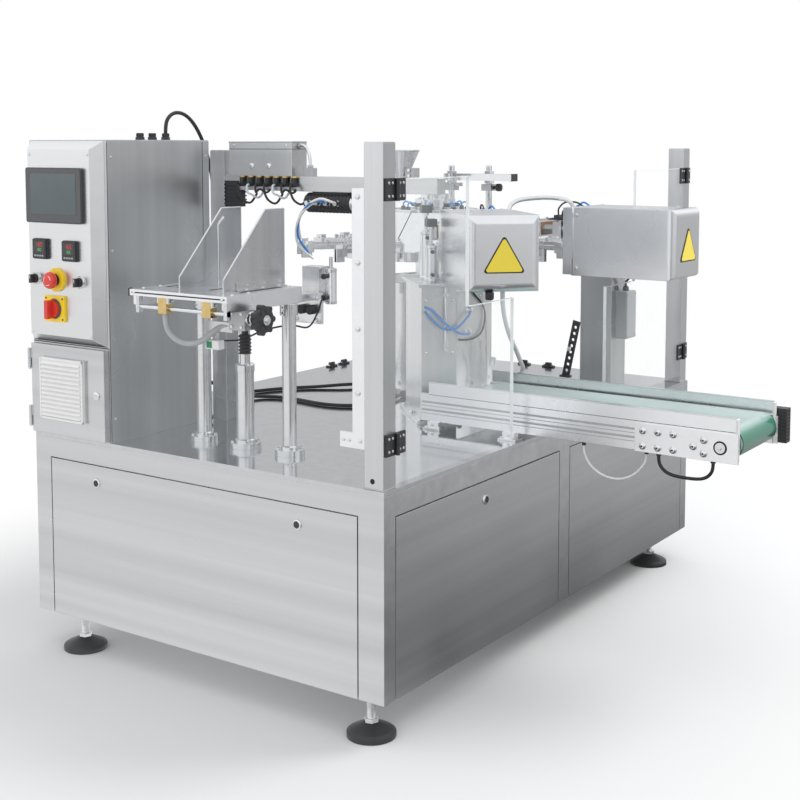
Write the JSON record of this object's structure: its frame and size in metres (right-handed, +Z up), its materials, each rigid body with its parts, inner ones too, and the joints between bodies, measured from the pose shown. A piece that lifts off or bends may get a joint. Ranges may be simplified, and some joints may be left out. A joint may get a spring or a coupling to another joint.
{
  "type": "rotary pouch filling machine",
  "caption": "Rotary pouch filling machine on a stainless base: gripper turret, pouch magazine, seal covers, funnel, control cabinet, clear guard doors and discharge conveyor.",
  "frame": {"origin": "centre of the machine's outline on the floor, between the four levelling feet", "axes": "+X towards the end of the discharge conveyor, +Y from the control cabinet to the back of the base, +Z up"},
  "size_m": [1.693, 1.7424, 1.3992],
  "materials": {
    "brushed_stainless": "fine brushed, satin",
    "polished_stainless": "mirror polished",
    "satin_stainless": "satin, turned",
    "anodised_aluminium": "matte anodised",
    "black_plastic": "moulded, slightly rough",
    "white_plastic": "moulded, matte",
    "grey_plastic": "moulded, matte",
    "clear_acrylic": "clear, polished edges",
    "yellow_plastic": "glossy",
    "red_plastic": "glossy",
    "screen_glass": "dark glossy front with a bright display",
    "brass": "cast, satin",
    "green_belt": "smooth belt cover",
    "cast_grey": "smooth grey paint",
    "black_rubber": "matte cable sheath",
    "white_sheath": "smooth cable sheath",
    "clear_hose": "translucent hose",
    "grey_conduit": "ribbed conduit"
  },
  "bodies": {
    "machine": {"base_housing": "brushed_stainless", "beam_and_post": "brushed_stainless", "cabinet_cable": "black_rubber", "cable_glands": "black_plastic", "control_cabinet": "brushed_stainless", "control_panel": "brushed_stainless", "conveyor_belt": "green_belt", "conveyor_black_cable": "black_rubber", "conveyor_drive": "black_plastic", "conveyor_drums": "satin_stainless", "conveyor_rails": "anodised_aluminium", "conveyor_side_plates": "brushed_stainless", "conveyor_white_cable": "white_sheath", "cord_fittings": "black_plastic", "front_panel": "brushed_stainless", "front_table_cable": "black_rubber", "funnel": "polished_stainless", "guard_posts": "brushed_stainless", "handwheel_bearing": "cast_grey", "hinge_leaves": "black_plastic", "junction_box": "grey_plastic", "left_seal_cover": "brushed_stainless", "levelling_feet": "black_plastic", "magazine_columns": "satin_stainless", "magazine_conduit": "grey_conduit", "magazine_frame": "anodised_aluminium", "magazine_rod": "polished_stainless", "magazine_side_plates": "polished_stainless", "panel_fittings": "black_plastic", "panel_locks": "black_plastic", "perforated_strap": "brushed_stainless", "pickup_unit": "anodised_aluminium", "post_channel": "anodised_aluminium", "rear_table_cable": "black_rubber", "right_seal_cover": "brushed_stainless", "rod_clamps": "brass", "rod_stands": "polished_stainless", "seal_hose": "clear_hose", "seal_jaws": "anodised_aluminium", "seal_stands": "brushed_stainless", "side_and_back_panels": "brushed_stainless", "table_top": "polished_stainless", "touch_screen": "screen_glass", "turret_base": "satin_stainless", "valve_box": "cast_grey", "yellow_backplates": "yellow_plastic"},
    "cabinet_door": {"cabinet_door": "brushed_stainless", "vent_louver": "white_plastic"},
    "emergency_stop": {"emergency_stop": "red_plastic"},
    "left_selector": {"left_selector": "black_plastic"},
    "right_selector": {"right_selector": "black_plastic"},
    "main_switch": {"main_switch_handle": "red_plastic"},
    "front_door": {"front_door": "clear_acrylic", "front_door_leaves": "black_plastic"},
    "rear_door": {"rear_door": "clear_acrylic", "rear_door_leaves": "black_plastic"},
    "handwheel": {"handwheel": "black_plastic"},
    "turret": {"turret_rotor": "satin_stainless", "gripper_arms": "brushed_stainless"}
  },
  "joints": [
    {"name": "cabinet_door_hinge", "type": "hinge", "parent": "machine", "child": "cabinet_door", "pos_m": [-0.8375, -0.81475, 0.686], "axis": [0, 0, -1], "range_deg": [0, 110]},
    {"name": "emergency_stop_press", "type": "slide", "parent": "machine", "child": "emergency_stop", "axis": [0, 1, 0], "range_m": [0, 0.005]},
    {"name": "left_selector_turn", "type": "hinge", "parent": "machine", "child": "left_selector", "pos_m": [-0.7915, -0.83575, 0.972], "axis": [0, 1, 0], "range_deg": [-45, 45]},
    {"name": "right_selector_turn", "type": "hinge", "parent": "machine", "child": "right_selector", "pos_m": [-0.6295, -0.83575, 0.97], "axis": [0, 1, 0], "range_deg": [-45, 45]},
    {"name": "main_switch_turn", "type": "hinge", "parent": "machine", "child": "main_switch", "pos_m": [-0.7195, -0.83575, 0.899], "axis": [0, 1, 0], "range_deg": [0, 90]},
    {"name": "front_door_hinge", "type": "hinge", "parent": "machine", "child": "front_door", "pos_m": [0.271, -0.74975, 0.908], "axis": [0, 0, -1], "range_deg": [0, 110]},
    {"name": "rear_door_hinge", "type": "hinge", "parent": "machine", "child": "rear_door", "pos_m": [0.271, 0.82125, 0.908], "axis": [0, 0, 1], "range_deg": [0, 110]},
    {"name": "handwheel_turn", "type": "hinge", "parent": "machine", "child": "handwheel", "pos_m": [-0.0785, -0.78275, 0.913], "axis": [1, 0, 0], "continuous": true},
    {"name": "turret_index", "type": "hinge", "parent": "machine", "child": "turret", "pos_m": [-0.3585, 0.36425, 0.998], "axis": [0, 0, 1], "continuous": true}
  ]
}
